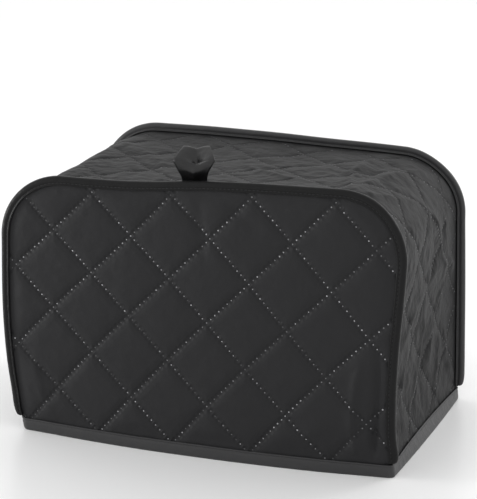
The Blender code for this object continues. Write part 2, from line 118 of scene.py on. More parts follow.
# Quilting: welded lines cross at this pitch. The first crossing is measured from the middle of the
# piece. WELDS is how many spots there are from one crossing to the next.
PITCH_ACROSS = 59.3 * MM
PITCH_UP = 61.1 * MM
PITCH_STEPS = 30
PANEL_CROSSING = (-108.3 * MM, 160.3 * MM)
GUSSET_CROSSING = (29.65 * MM, 0.0)
WELDS = 10
WELD_RADIUS = 0.62 * MM
WELD_RISE = 0.12 * MM
WELD_SIDES = 8
# A spot in section, as shares of its radius and rise: its dished middle, its rings and its root.
WELD_MIDDLE = 0.3
WELD_RINGS = ((0.62, 1.0), (1.0, -0.6))
WELD_ROOT = 2
# How far a spot strays, in millimetres, and how its size varies.
WELD_STRAY = 0.18
WELD_SIZES = (0.78, 1.12)
# A spot's painted glint: brighter in patches and towards the right, where the light falls, with a spread at
# random from spot to spot. Above these values a spot is painted bright or middling.
SHINE_SCALE = 18
SHINE_BASE = 0.45
SHINE_PATCH = 0.5
SHINE_SPREAD = 0.35
BRIGHT_ABOVE = 0.62
MIDDLE_ABOVE = 0.32
# The height of the puffed cloth between the welded lines.
PUFF = 1.4 * MM
PUFF_FULLNESS = 0.6
# The strip is drawn over the folds more tightly than the panels, so its quilting is flatter.
STRIP_PUFF = 0.55
UNEVEN = 0.8 * MM
UNEVEN_SCALE = 45 * MM
PANEL_MARGIN = 1.0 * MM
GUSSET_MARGIN = LIP_END - GUSSET_SKIN + GAP
FADE = 10 * MM

# Mesh steps along the seam line and the hem. On the sides they stand closer together towards the foot,
# by the power SIDE_SPACING.
SIDE_SPACING = 1.3
SIDE_STEPS = 70
CORNER_STEPS = 40
TOP_STEPS = 100
HEM_STEPS = 140
SIDE_HEM_STEPS = 90
HEM_CORNER_STEPS = 8
CLEAR_OF_EDGE = 1.4 * MM

# How far the sides lie outside the box form, by height and by corner, in millimetres.
SIDE_SHIFT = (
    # height, front left, front right, back left, back right
    (0, -7.2, -0.4, 8.4, 8.6),
    (14, -5.6, -2.2, 6.8, 7.0),
    (30, -4.4, -4.6, 5.9, 6.2),
    (53, -1.9, -5.3, 4.6, 5.1),
    (77, -0.3, -5.0, 3.4, 4.1),
    (101, 0.5, -3.9, 2.1, 3.1),
    (125, 0.4, -2.2, 1.2, 2.0),
    (150, 0.0, -0.9, 0.4, 0.9),
    (201, 0.0, 0.0, 0.0, 0.0),
)

# How far the middle of each side stands outside the line between its corners, in millimetres.
SIDE_BELLY = (
    # height, left side, right side
    (0, 1.0, 1.4),
    (10, -1.2, -2.6),
    (40, -1.6, -3.0),
    (90, -0.8, -2.0),
    (150, 0.6, 0.2),
    (201, 0.6, 0.6),
)

# How far the hem of the front and back lies outside the box form, in millimetres.
HEM_BOW = (
    # x, front, back
    (-150, -5.5, -5.0),
    (-125, -3.0, -2.4),
    (-90, 1.0, 1.6),
    (-45, 4.2, 4.6),
    (0, 5.0, 5.0),
    (45, 4.4, 3.6),
    (90, 1.8, 0.8),
    (125, -2.2, -2.6),
    (150, -5.0, -5.4),
)
BOW_HEIGHT = 90 * MM
PANEL_BELLY = 1.6 * MM

# How far the top edges stand above the box form, in millimetres.
TOP_SHIFT = (
    # x, front, back
    (-150, -4.4, 1.2),
    (-100, -5.2, 1.6),
    (-60, -4.9, 1.8),
    (-35, -3.6, 1.4),
    (0, -0.6, 0.6),
    (40, 1.2, -1.0),
    (80, 1.9, -2.2),
    (110, 2.3, -3.6),
    (130, 2.8, -4.8),
    (150, 1.8, -4.2),
)
TOP_SHIFT_START = 70 * MM
TOP_SAG = 2.2 * MM

# A fold dies away over this share of its length, inside and beyond each end. Its crest is narrower
# than its foot, by these shares of its width and rise.
FOLD_END = 0.2
CREST_WIDTH = 0.42
CREST_RISE = 0.5

# Soft folds of the gusset. Each runs in an arc from one end to the other: along is measured on the
# strip from the middle of the top, positive to the right, and across from the middle of its width,
# negative to the front. A negative rise is a trough. All in millimetres.
GUSSET_FOLDS = (
    # along, across, along, across, bend, rise, width
    (105, -72, 88, 66, -10, 2.4, 8),
    (106, -68, 131, 74, -8, 2.2, 8),
    (109, -76, 140, -4, 5, 1.8, 6),
    (-12, -58, 96, -70, 9, 1.8, 12),
    (2, 2, 62, -42, 4, 1.5, 8),
    (6, 70, 56, 28, 4, -1.8, 16),
    (70, 8, 96, -14, 3, -1.6, 9),
    (98, -2, 103, 52, -3, -1.6, 9),
    (-112, -60, -118, 56, 4, 2.4, 20),
    (-40, -70, -84, 20, 9, 1.6, 9),
    (-72, -56, -112, 48, 7, 1.4, 9),
    (-20, 20, -70, 66, 6, -1.5, 14),
    (146, -2, 216, 46, -9, 1.8, 7),
    (160, 46, 208, 74, 8, 1.8, 7),
    (204, 72, 232, -56, 18, 1.9, 8),
    (214, 48, 262, 18, 7, 1.6, 7),
    (222, -2, 284, -30, -7, 1.6, 8),
    (250, 58, 300, 84, 7, 1.7, 7),
    (258, 44, 306, 36, 4, 1.7, 7),
    (250, -48, 298, -82, 5, 1.8, 7),
    (258, -60, 306, -44, 5, 1.6, 7),
    (170, -70, 236, -64, 8, -1.8, 9),
    (236, 8, 300, 4, 6, -1.6, 9),
    (170, 16, 206, 2, -6, -1.4, 9),
    (-150, -40, -226, -16, 9, 1.6, 8),
    (-168, 46, -240, 20, -9, 1.6, 8),
    (-224, -62, -292, -34, 7, 1.7, 8),
    (-232, 66, -296, 44, -6, 1.6, 8),
    (-250, 4, -304, 2, 5, -1.6, 10),
)

# Soft folds of the front panel: a pinch beside the lower right seam, a hollow under the loop and
# shallow hollows elsewhere. X and height in millimetres.
FRONT_FOLDS = (
    # x, height, x, height, bend, rise, width
    (137, 84, 131, 14, -3, -4.6, 4),
    (123, 78, 119, 16, 2, 2.2, 5),
    (2, 188, 8, 142, 2, -1.2, 8),
    (24, 186, 46, 168, 2, -1.2, 9),
    (-126, 60, -118, 18, 3, 1.2, 9),
    (60, 24, 100, 34, 3, 1.2, 10),
)
BACK_FOLDS = (
    # x, height, x, height, bend, rise, width
    (-134, 76, -128, 16, 3, -2.2, 6),
    (128, 64, 120, 16, -3, 1.4, 8),
    (-20, 184, 6, 150, 3, -1.2, 10),
)

# Small unevenness of the cloth between the folds.
CRUMPLE_SCALE = 13 * MM
CRUMPLE_FINE = 2.3
CRUMPLE_FINE_SHARE = 0.5
PANEL_CRUMPLE = 0.18 * MM
GUSSET_CRUMPLE = 0.75 * MM

# The folded tape in section: how far inside the seam's edge and how far behind the seam's face.
BINDING_SECTION = (
    # inside, behind
    (6.6, 0.15),
    (6.5, -0.25),
    (6.2, -0.5),
    (5.8, -0.5),
    (5.3, -0.15),
    (4.9, 0.2),
    (4.5, 0.1),
    (4.0, -0.2),
    (3.2, -0.4),
    (2.2, -0.3),
    (1.3, 0.0),
    (0.6, 0.6),
    (0.15, 1.4),
    (0.0, 2.45),
    (0.1, 3.5),
    (0.5, 4.3),
    (1.2, 4.9),
    (2.3, 5.15),
    (3.3, 5.1),
    (4.1, 4.85),
    (4.6, 4.95),
    (4.8, 5.5),
    (4.75, 6.2),
    (4.9, 7.0),
)
SEAM_STITCH = (4.8, 0.15)

# The hem's tape in section: how far inside the outer face, and the height.
HEM_SECTION = (
    # inside, height
    (0.1, 9.8),
    (-0.35, 9.5),
    (-0.4, 9.0),
    (0.15, 8.3),
    (-0.1, 7.6),
    (-0.15, 6.0),
    (-0.1, 3.6),
    (0.0, 1.8),
    (0.3, 0.7),
    (0.8, 0.1),
    (1.4, 0.0),
    (2.1, 0.0),
    (2.7, 0.1),
    (3.2, 0.7),
    (3.5, 1.8),
    (3.5, 5.6),
    (3.5, 9.5),
    (3.4, 9.8),
)
HEM_STITCH = (0.12, 8.3)

# A sewn tape strays from its line by this much. As shares of it, a seam tape's front leg strays and lifts,
# and the hem's upper edge leans in or out.
TAPE_WAVE = 0.22 * MM
TAPE_WAVE_SCALE = 11 * MM
TAPE_WAVE_FINE = 2.7
TAPE_WAVE_FINE_SHARE = 0.6
LEG_WAVE = 1.4
LIFT_WAVE = 0.5
HEM_LEAN = 0.6

# Sewing thread.
STITCH_LENGTH = 2.3 * MM
STITCH_PITCH = 3.0 * MM
THREAD_RADIUS = 0.19 * MM
THREAD_SIDES = 6
THREAD_RINGS = 5
# A stitch's ends lie in the tape and its middle bows out, by these shares of the thread's radius. Its ends
# are drawn thin, and its pitch varies.
STITCH_DIP = 0.6
STITCH_BOW = 1.3
THREAD_END = 0.55
STITCH_UNEVEN = (0.94, 1.06)

# The tapes' weave and small crinkles: noise scales, and depths in millimetres.
WEAVE_SCALE = 1500.0
WEAVE_DEPTH = 0.12
CRINKLE_SCALE = 170.0
CRINKLE_DEPTH = 0.5
TAPE_SHEEN = 0.02
SHEEN_ROUGHNESS = 0.45

# The cloth's fine relief: a dimple round each spot and a pinch along the welded lines, with their reach and
# depth in millimetres, then small crumples and the weave, by their noise scales on the quilting's grid.
DIMPLE_REACH = (0.5, 3.0)
DIMPLE_DEPTH = 0.6
PINCH_REACH = 7.0
PINCH_DEPTH = 0.6
CLOTH_CRUMPLE_SCALE = 6.0
CLOTH_WEAVE_SCALE = 130.0
CLOTH_WEAVE_DEPTH = 0.05
CLOTH_SPECULAR = 0.13

# Colours of the cloths, the tapes, the thread and the welded spots.
PANEL_BLACK = (0.0195, 0.0195, 0.0205)
# Painted shade: the strip is the panels' cloth, drawn a darker black on the top and sides.
STRIP_SHADED_BLACK = (0.015, 0.015, 0.0155)
TAPE_BLACK = (0.006, 0.006, 0.0062)
# Painted light: the back seam's tape is the same tape as the front seam's, drawn lighter where the bright
# surround above the top falls on it.
BACK_TAPE_LIT_BLACK = (0.029, 0.029, 0.030)
# Painted light: the hem's tape is the same tape too, drawn lighter for the light it catches low down and on
# its flared sides.
HEM_TAPE_LIT_BLACK = (0.028, 0.028, 0.029)
RIBBON_BLACK = (0.004, 0.004, 0.0043)
THREAD_BLACK = (0.014, 0.014, 0.015)
# Painted glints: the welded spots are drawn in light greys that stand in for the light they reflect, bright,
# middling and dim.
WELD_GLINT_BRIGHT = (0.32, 0.32, 0.33)
WELD_GLINT_MIDDLING = (0.15, 0.15, 0.155)
WELD_GLINT_DIM = (0.06, 0.06, 0.062)

# The ribbon loop: rows from its front end at the seam, over the top, to its back end. Back and up are
# measured from the foot of the front seam, as the loop's middle is. Right is from the loop's own
# place, and hollow is how far the middle of the ribbon is pressed in, or out below 0. All in millimetres.
LOOP_X = -2.5 * MM
LOOP_ROWS = (
    # row, back, up, right, width, hollow
    (0, 0.6, 0.6, -2.0, 18.0, -0.6),
    (1, -0.4, 7.6, -1.8, 18.8, -1.8),
    (2, -4.7, 13.8, -0.8, 23.5, -1.2),
    (3, -8.2, 19.4, 0.6, 29.0, 3.0),
    (4, -8.8, 22.0, 0.8, 29.8, 6.8),
    (5, -5.4, 25.0, 0.2, 27.0, 7.4),
    (6, -0.6, 28.2, -0.6, 22.0, 5.8),
    (7, 3.3, 29.6, -1.4, 18.5, 2.2),
    (8, 5.7, 25.5, -2.0, 17.5, 1.4),
    (9, 5.2, 12.5, -2.4, 17.0, 0.8),
    (10, 3.6, 1.4, -2.4, 17.0, 0.2),
)
LOOP_MIDDLE = (-1, 16)
LOOP_HOLLOW_FALL = 2.0
LOOP_ROW_STEPS = 6
LOOP_COLUMN_STEPS = 20

# Where the round top corners have their middle, on the right.
CORNER_X = WIDTH / 2 - CORNER_RADIUS
CORNER_Z = HEIGHT - CORNER_RADIUS
SKIN_RADIUS = CORNER_RADIUS - FIN
SKIN_ARC = SKIN_RADIUS * math.pi / 2
END_OF_STRIP = CORNER_X + SKIN_ARC + CORNER_Z
TURN = DEPTH / 2 - GUSSET_SKIN
FRONT = -1
BACK = 1


def smooth(value):
    """Goes softly from 0 to 1 while value does."""
    value = min(max(value, 0.0), 1.0)
    return value * value * (3 - 2 * value)


def read_table(rows, column, key):
    """A table's column at key, on a smooth curve through its rows."""
    key = min(max(key, rows[0][0]), rows[-1][0])
    right = next(i for i in range(1, len(rows)) if key <= rows[i][0])
    before = rows[max(right - 2, 0)]
    low = rows[right - 1]
    high = rows[right]
    after = rows[min(right + 1, len(rows) - 1)]
    span = high[0] - low[0]
    t = (key - low[0]) / span
    slope_low = (high[column] - before[column]) / (high[0] - before[0]) * span
    slope_high = (after[column] - low[column]) / (after[0] - low[0]) * span
    return (
        (2 * t**3 - 3 * t**2 + 1) * low[column]
        + (t**3 - 2 * t**2 + t) * slope_low
        + (3 * t**2 - 2 * t**3) * high[column]
        + (t**3 - t**2) * slope_high
    )


def mixed(low, high, share):
    return low + (high - low) * share


def settle(point):
    """Moves a point of the box form to where the soft cloth stands."""
    x, y, z = point
    rightward = (x / WIDTH) + 0.5
    backward = (y / DEPTH) + 0.5
    height = z / MM
    across = x / MM
    middle_of_depth = max(1 - (2 * y / DEPTH) ** 2, 0)
    middle_of_width = max(1 - (2 * x / WIDTH) ** 2, 0)

    left = mixed(read_table(SIDE_SHIFT, 1, height), read_table(SIDE_SHIFT, 3, height), backward)
    right = mixed(read_table(SIDE_SHIFT, 2, height), read_table(SIDE_SHIFT, 4, height), backward)
    left += read_table(SIDE_BELLY, 1, height) * middle_of_depth
    right += read_table(SIDE_BELLY, 2, height) * middle_of_depth
    out_x = mixed(-left, right, rightward) * MM

    low_part = max(1 - z / BOW_HEIGHT, 0) ** 2
    belly = PANEL_BELLY * middle_of_width * math.sin(math.pi * min(z / HEIGHT, 1))
    front = read_table(HEM_BOW, 1, across) * MM * low_part + belly
    back = read_table(HEM_BOW, 2, across) * MM * low_part + belly
    out_y = mixed(-front, back, backward)

    high_part = smooth((z - TOP_SHIFT_START) / (HEIGHT - TOP_SHIFT_START))
    raised = mixed(read_table(TOP_SHIFT, 1, across), read_table(TOP_SHIFT, 2, across), backward)
    sag = TOP_SAG * middle_of_depth * middle_of_width
    out_z = (raised * MM - sag) * high_part
    return Vector((x + out_x, y + out_y, z + out_z))


def depth_at(end, behind):
    """The y of a plane that lies this far behind the outer face of the front or back seam."""
    return end * (DEPTH / 2 - behind)


def seam_stations(foot):
    """Points (x, z) of the seam line with its outward direction, from the left hem to the right."""
    left = [(-WIDTH / 2, foot, -1.0, 0.0)]
    for i in range(1, SIDE_STEPS + 1):
        z = mixed(SEAM_FOOT, CORNER_Z, (i / SIDE_STEPS) ** SIDE_SPACING)
        left.append((-WIDTH / 2, z, -1.0, 0.0))
    for i in range(1, CORNER_STEPS + 1):
        angle = math.pi / 2 * i / CORNER_STEPS
        out_x = -math.cos(angle)
        out_z = math.sin(angle)
        left.append((out_x * CORNER_RADIUS - CORNER_X, out_z * CORNER_RADIUS + CORNER_Z, out_x, out_z))
    top = []
    for i in range(1, TOP_STEPS):
        top.append((mixed(-CORNER_X, CORNER_X, i / TOP_STEPS), HEIGHT, 0.0, 1.0))
    right = [(-x, z, -out_x, out_z) for x, z, out_x, out_z in reversed(left)]
    return left + top + right


def inset(station, distance):
    """A station's point, moved into the outline by this distance."""
    x, z, out_x, out_z = station
    return (x - out_x * distance, z - out_z * distance)


def inset_of(x, z):
    """How far a point of a panel lies inside the outline."""
    beyond_x = abs(x) - CORNER_X
    beyond_z = z - CORNER_Z
    if beyond_x > 0 and beyond_z > 0:
        return CORNER_RADIUS - math.hypot(beyond_x, beyond_z)
    return min(WIDTH / 2 - abs(x), HEIGHT - z)


def narrowed(distance, z):
    """A distance inside the seam's edge, larger near the seam's foot, where the edge runs inward."""
    below = min(max((BINDING_FOOT + ROUND_FOOT - z) / ROUND_FOOT, 0), 1)
    inward = ROUND_FOOT_DEPTH * (1 - math.sqrt(1 - below**2))
    return distance + inward * (1 - distance / ROUND_FOOT_REACH)


def quilt(across, up, crossing):
    """Height of the puffed cloth between the welded lines."""
    u = (across - crossing[0]) / PITCH_ACROSS
    v = (up - crossing[1]) / PITCH_UP
    ridge = abs(math.sin(math.pi * (u - v))) * abs(math.sin(math.pi * (u + v)))
    return PUFF * ridge**PUFF_FULLNESS


def fold_height(folds, across, up):
    """Height that the soft folds of a table add at a point."""
    total = 0.0
    for start_a, start_b, end_a, end_b, bend, rise, width in folds:
        run_a = (end_a - start_a) * MM
        run_b = (end_b - start_b) * MM
        length = math.hypot(run_a, run_b)
        from_a = across - start_a * MM
        from_b = up - start_b * MM
        along = (from_a * run_a + from_b * run_b) / length**2
        if not -FOLD_END < along < 1 + FOLD_END:
            continue
        beside = (from_a * run_b - from_b * run_a) / length
        beside = (beside - bend * MM * 4 * along * (1 - along)) / (width * MM)
        taper = 2 * FOLD_END
        ends = smooth((along + FOLD_END) / taper) * smooth((1 + FOLD_END - along) / taper)
        foot = (1 - CREST_RISE) * math.exp(-(beside**2))
        crest = CREST_RISE * math.exp(-((beside / CREST_WIDTH) ** 2))
        total += rise * MM * ends * (foot + crest)
    return total


def uneven(across, up, piece):
    """A slow, slight rise and fall of the whole cloth."""
    place = Vector((across / UNEVEN_SCALE, up / UNEVEN_SCALE, piece))
    return UNEVEN * noise.noise(place)


def crumple(across, up, piece, height):
    """Small hollows and rises of cloth that has been folded and packed."""
    place = Vector((across / CRUMPLE_SCALE, up / CRUMPLE_SCALE, piece))
    return height * (noise.noise(place) + CRUMPLE_FINE_SHARE * noise.noise(place * CRUMPLE_FINE))


def lattice(crossing, low, high):
    """Mesh points on the quilting's grid, by step, inside a rectangle."""
    step_a = PITCH_ACROSS / PITCH_STEPS
    step_b = PITCH_UP / PITCH_STEPS
    first_i = math.ceil((low[0] - crossing[0]) / step_a)
    last_i = math.floor((high[0] - crossing[0]) / step_a)
    first_j = math.ceil((low[1] - crossing[1]) / step_b)
    last_j = math.floor((high[1] - crossing[1]) / step_b)
    points = {}
    for i in range(first_i, last_i + 1):
        for j in range(first_j, last_j + 1):
            points[(i, j)] = (crossing[0] + i * step_a, crossing[1] + j * step_b)
    return points


def cut_sheet(outline, fold_lines, grid):
    """Points and triangles of a flat pattern whose quilting lines and fold lines are mesh edges."""
    points = list(outline)
    edges = [(i, (i + 1) % len(outline)) for i in range(len(outline))]
    for line in fold_lines:
        first = len(points)
        points.extend(line)
        edges.extend((first + i, first + i + 1) for i in range(len(line) - 1))
    number = {}
    for key, place in grid.items():
        number[key] = len(points)
        points.append(place)
    for i, j in grid:
        if (i - j) % PITCH_STEPS == 0 and (i + 1, j + 1) in grid:
            edges.append((number[(i, j)], number[(i + 1, j + 1)]))
        if (i + j) % PITCH_STEPS == 0 and (i + 1, j - 1) in grid:
            edges.append((number[(i, j)], number[(i + 1, j - 1)]))
    inside_only = 1
    nearness = 1e-7
    result = delaunay_2d_cdt([Vector(place) for place in points], edges, [], inside_only, nearness)
    used = sorted({i for face in result[2] for i in face})
    place_of = {old: new for new, old in enumerate(used)}
    flat = [result[0][i] for i in used]
    faces = [tuple(place_of[i] for i in face) for face in result[2]]
    return flat, faces


def new_object(name, points, faces, materials):
    """An object of these faces with its materials, that rides with the cover."""
    mesh = bpy.data.meshes.new(name)
    mesh.from_pydata([tuple(p) for p in points], [], faces)
    mesh.shade_smooth()
    for material in materials:
        mesh.materials.append(material)
    result = bpy.data.objects.new(name, mesh)
    bpy.context.scene.collection.objects.link(result)
    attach(result, "root")
    return result


def thicken(sheet, thickness):
    """Gives an open surface its thickness, on the side away from its skin."""
    solid = sheet.modifiers.new("thickness", "SOLIDIFY")
    solid.thickness = thickness
    solid.offset = -1
    solid.use_even_offset = True


def map_quilting(sheet, flat, crossing):
    """Lays the quilting's own grid on a piece, for its material."""
    mesh = sheet.data
    layer = mesh.uv_layers.new(name="quilting")
    for loop in mesh.loops:
        across, up = flat[loop.vertex_index]
        layer.data[loop.index].uv = ((across - crossing[0]) / PITCH_ACROSS, (up - crossing[1]) / PITCH_UP)


def panel_place(end, folds, x, z):
    """Where a point of a panel's skin lies."""
    beside_seam = smooth((inset_of(x, z) - TAPE_FRONT_LEG - PANEL_MARGIN) / FADE)
    free = beside_seam * smooth((z - SEAM_FOOT) / FADE)
    rise = quilt(x, z, PANEL_CROSSING) + fold_height(folds, x, z) + uneven(x, z, end)
    rise += crumple(x, z, end, PANEL_CRUMPLE)
    return settle((x, depth_at(end, PANEL_SKIN - free * rise), z))


def panel(name, end, folds, material):
    """The quilted front or back panel, cut to the seam line with its allowance."""
    stations = seam_stations(SEAM_FOOT)
    hem_x = WIDTH / 2 - FIN + TAPE + GAP - HEM_CORNER
    foot = [(mixed(end * hem_x, -end * hem_x, i / HEM_STEPS), CLOTH_FOOT) for i in range(HEM_STEPS + 1)]
    hem_top = [(x, CLOTH_IN_HEM) for x, _ in foot]
    rim = [inset(station, narrowed(CLOTH_IN_FIN, station[1])) for station in stations]
    if end == FRONT:
        rim.reverse()
    outline = [*foot, hem_top[-1], *rim, hem_top[0]]
    guard = [inset(station, TAPE_FRONT_LEG + PANEL_MARGIN) for station in stations]
    grid = lattice(PANEL_CROSSING, (-WIDTH / 2, SEAM_FOOT + CLEAR_OF_EDGE), (WIDTH / 2, HEIGHT))
    nearest = TAPE_FRONT_LEG + PANEL_MARGIN + CLEAR_OF_EDGE
    grid = {key: place for key, place in grid.items() if inset_of(*place) > nearest}
    flat, faces = cut_sheet(outline, [guard, hem_top], grid)
    points = [panel_place(end, folds, x, z) for x, z in flat]
    if end == BACK:
        faces = [tuple(reversed(face)) for face in faces]
    sheet = new_object(name, points, faces, [material])
    map_quilting(sheet, flat, PANEL_CROSSING)
    thicken(sheet, CLOTH)
    return sheet


def along_of(station):
    """Where a station of the seam line lies along the gusset, from the middle of the top."""
    x, z, out_x, _ = station
    side = 1 if x > 0 else -1
    if abs(x) <= CORNER_X:
        return x
    if z <= CORNER_Z:
        return side * (CORNER_X + SKIN_ARC + CORNER_Z - z)
    return side * (CORNER_X + SKIN_RADIUS * math.asin(abs(out_x)))


def gusset_station(along):
    """The seam line's point and outward direction beside this place on the gusset."""
    side = 1 if along > 0 else -1
    past_top = abs(along) - CORNER_X
    if past_top <= 0:
        return (along, HEIGHT, 0.0, 1.0)
    if past_top <= SKIN_ARC:
        angle = past_top / SKIN_RADIUS
        out_x = math.sin(angle)
        out_z = math.cos(angle)
        x = side * (CORNER_X + out_x * CORNER_RADIUS)
        z = CORNER_Z + out_z * CORNER_RADIUS
        return (x, z, side * out_x, out_z)
    return (side * WIDTH / 2, CORNER_Z - (past_top - SKIN_ARC), side * 1.0, 0.0)


def gusset_place(along, across):
    """Where a point of the gusset's skin lies. Beyond the turn it is the allowance in the seam."""
    hem_along = END_OF_STRIP - SEAM_FOOT
    station = gusset_station(along)
    turned = max(abs(across) - TURN, 0) if abs(along) < hem_along + GAP else 0
    side = 1 if across > 0 else -1
    beside_seam = smooth((TURN - GUSSET_MARGIN - abs(across)) / FADE)
    free = beside_seam * smooth((hem_along - abs(along)) / FADE)
    rise = STRIP_PUFF * quilt(along, across, GUSSET_CROSSING) + fold_height(GUSSET_FOLDS, along, across)
    rise += uneven(along, across, 2) + crumple(along, across, 2, GUSSET_CRUMPLE)
    x, z = inset(station, FIN - turned - free * rise)
    y = side * TURN if turned else across
    return settle((x, y, z))


def gusset(name, material):
    """The long quilted strip: left side, top and right side, with its seam allowances turned out."""
    stations = seam_stations(SEAM_FOOT)
    seam_line = [along_of(station) for station in stations]
    tips = [TURN + FIN - narrowed(CLOTH_IN_FIN, station[1]) for station in stations]
    in_hem = DEPTH / 2 - HEM_CORNER
    places = [mixed(-in_hem, in_hem, i / SIDE_HEM_STEPS) for i in range(SIDE_HEM_STEPS + 1)]
    foot = [(END_OF_STRIP - CLOTH_FOOT, across) for across in places]
    hem_top = [(END_OF_STRIP - CLOTH_IN_HEM, across) for across in places]
    hem_along = seam_line[-1]
    right_half = [(along, -tip) for along, tip in zip(seam_line, tips)]
    right_half += [(hem_along, -TURN), hem_top[0], *foot, hem_top[-1], (hem_along, TURN)]
    outline = right_half + [(-along, -across) for along, across in right_half]
    flat_until = TURN - GUSSET_MARGIN
    folds = [[(along, line) for along in seam_line] for line in (-TURN, -flat_until, flat_until, TURN)]
    folds += [hem_top, [(-along, across) for along, across in hem_top]]
    reach = (END_OF_STRIP - CLOTH_IN_HEM - CLEAR_OF_EDGE, flat_until - CLEAR_OF_EDGE)
    grid = lattice(GUSSET_CROSSING, (-reach[0], -reach[1]), reach)
    flat, faces = cut_sheet(outline, folds, grid)
    points = [gusset_place(along, across) for along, across in flat]
    sheet = new_object(name, points, faces, [material])
    map_quilting(sheet, flat, GUSSET_CROSSING)
    thicken(sheet, CLOTH)
    return sheet


def weld_places(crossing, low, high):
    """The welded spots of the quilting inside a rectangle: every spot of both sets of lines."""
    found = set()
    reach = 12
    for line in range(-reach, reach + 1):
        for step in range(-reach * WELDS, reach * WELDS + 1):
            found.add((line * WELDS, step))
            found.add((step, line * WELDS))
    places = []
    for p, q in sorted(found):
        across = crossing[0] + PITCH_ACROSS * (p + q) / WELDS / 2
        up = crossing[1] + PITCH_UP * (q - p) / WELDS / 2
        if low[0] < across < high[0] and low[1] < up < high[1]:
            places.append((across, up))
    return places


def add_weld(points, faces, centre, right, up, out, radius):
    """A small shallow cap with a dished middle, closed underneath."""
    first = len(points)
    points.append(centre + out * WELD_RISE * WELD_MIDDLE)
    for share, height in WELD_RINGS:
        for k in range(WELD_SIDES):
            angle = 2 * math.pi * k / WELD_SIDES
            spot = right * math.cos(angle) + up * math.sin(angle)
            points.append(centre + spot * radius * share + out * WELD_RISE * height)
    points.append(centre - out * WELD_RISE * WELD_ROOT)
    last = len(points) - 1
    inner = first + 1
    outer = inner + WELD_SIDES
    for k in range(WELD_SIDES):
        after = (k + 1) % WELD_SIDES
        faces.append((first, inner + k, inner + after))
        faces.append((inner + k, outer + k, outer + after, inner + after))
        faces.append((last, outer + after, outer + k))


def welds(name, place, spots, materials, rng):
    """All the welded spots of one piece, uneven in size and place, each drawn with a painted glint."""
    points = []
    faces = []
    glint_shades = []
    step = 0.5 * MM
    per_weld = 3 * WELD_SIDES
    for across, up in spots:
        across += rng.uniform(-WELD_STRAY, WELD_STRAY) * MM
        up += rng.uniform(-WELD_STRAY, WELD_STRAY) * MM
        centre = place(across, up)
        right = (place(across + step, up) - centre).normalized()
        upward = (place(across, up + step) - centre).normalized()
        out = right.cross(upward).normalized()
        radius = WELD_RADIUS * rng.uniform(*WELD_SIZES)
        add_weld(points, faces, centre, right, out.cross(right), out, radius)
        # Painted glint: brighter in patches and towards the right, with a spread at random.
        patch = SHINE_BASE + SHINE_PATCH * noise.noise(centre * SHINE_SCALE) + centre.x
        shine = patch + rng.uniform(-SHINE_SPREAD, SHINE_SPREAD)
        shade = 0 if shine > BRIGHT_ABOVE else 1 if shine > MIDDLE_ABOVE else 2
        glint_shades += [shade] * per_weld
    result = new_object(name, points, faces, materials)
    for polygon, shade in zip(result.data.polygons, glint_shades):
        polygon.material_index = shade
    return result


def swept(rows, closed):
    """Faces between rows of points, all of one length."""
    count = len(rows[0])
    faces = []
    for i in range(len(rows) if closed else len(rows) - 1):
        j = (i + 1) % len(rows)
        for k in range(count - 1):
            faces.append((i * count + k, j * count + k, j * count + k + 1, i * count + k + 1))
    return faces


def tape_wave(run, piece):
    """How far a sewn tape strays from its line, at this length along it."""
    apart = 7.3
    level = 0.5
    place = Vector((run / TAPE_WAVE_SCALE, piece * apart, level))
    return TAPE_WAVE * (noise.noise(place) + TAPE_WAVE_FINE_SHARE * noise.noise(place * TAPE_WAVE_FINE))


def binding(name, end, material):
    """Tape folded over a seam: one leg on the panel, the other behind the gusset's allowance."""
    rows = []
    run = 0.0
    last = None
    for station in seam_stations(BINDING_FOOT):
        if last is not None:
            run += math.hypot(station[0] - last[0], station[1] - last[1])
        last = station
        row = []
        wave = tape_wave(run, end)
        for inside, behind in BINDING_SECTION:
            front_leg = behind * MM < FIN_THICKNESS / 2
            share = smooth(inside * MM / TAPE_FRONT_LEG) if front_leg else 0
            distance = narrowed(inside * MM, station[1]) + wave * share * LEG_WAVE
            if not front_leg:
                distance = min(distance, LIP_FACE)
            x, z = inset(station, distance)
            row.append(settle((x, depth_at(end, behind * MM - abs(wave) * share * LIFT_WAVE), z)))
        rows.append(row)
    faces = swept(rows, closed=False)
    if end == BACK:
        faces = [tuple(reversed(face)) for face in faces]
    tape = new_object(name, [p for row in rows for p in row], faces, [material])
    thicken(tape, TAPE)
    return tape


def hem_line():
    """Points (x, y) of the hem's outer face with its outward direction, anticlockwise from above."""
    half_x = WIDTH / 2 - FIN + TAPE + GAP
    half_y = DEPTH / 2
    straight_x = half_x - HEM_CORNER
    straight_y = half_y - HEM_CORNER
    line = []
    runs = (
        ((-straight_x, -half_y), (straight_x, -half_y), (0.0, -1.0), HEM_STEPS),
        ((half_x, -straight_y), (half_x, straight_y), (1.0, 0.0), SIDE_HEM_STEPS),
        ((straight_x, half_y), (-straight_x, half_y), (0.0, 1.0), HEM_STEPS),
        ((-half_x, straight_y), (-half_x, -straight_y), (-1.0, 0.0), SIDE_HEM_STEPS),
    )
    for start, end, out, steps in runs:
        for i in range(steps + 1):
            x = mixed(start[0], end[0], i / steps)
            y = mixed(start[1], end[1], i / steps)
            line.append((x, y, *out))
        middle = (end[0] - out[0] * HEM_CORNER, end[1] - out[1] * HEM_CORNER)
        first = math.atan2(out[1], out[0])
        for i in range(1, HEM_CORNER_STEPS):
            angle = first + math.pi / 2 * i / HEM_CORNER_STEPS
            out_x = math.cos(angle)
            out_y = math.sin(angle)
            line.append((middle[0] + out_x * HEM_CORNER, middle[1] + out_y * HEM_CORNER, out_x, out_y))
    return line


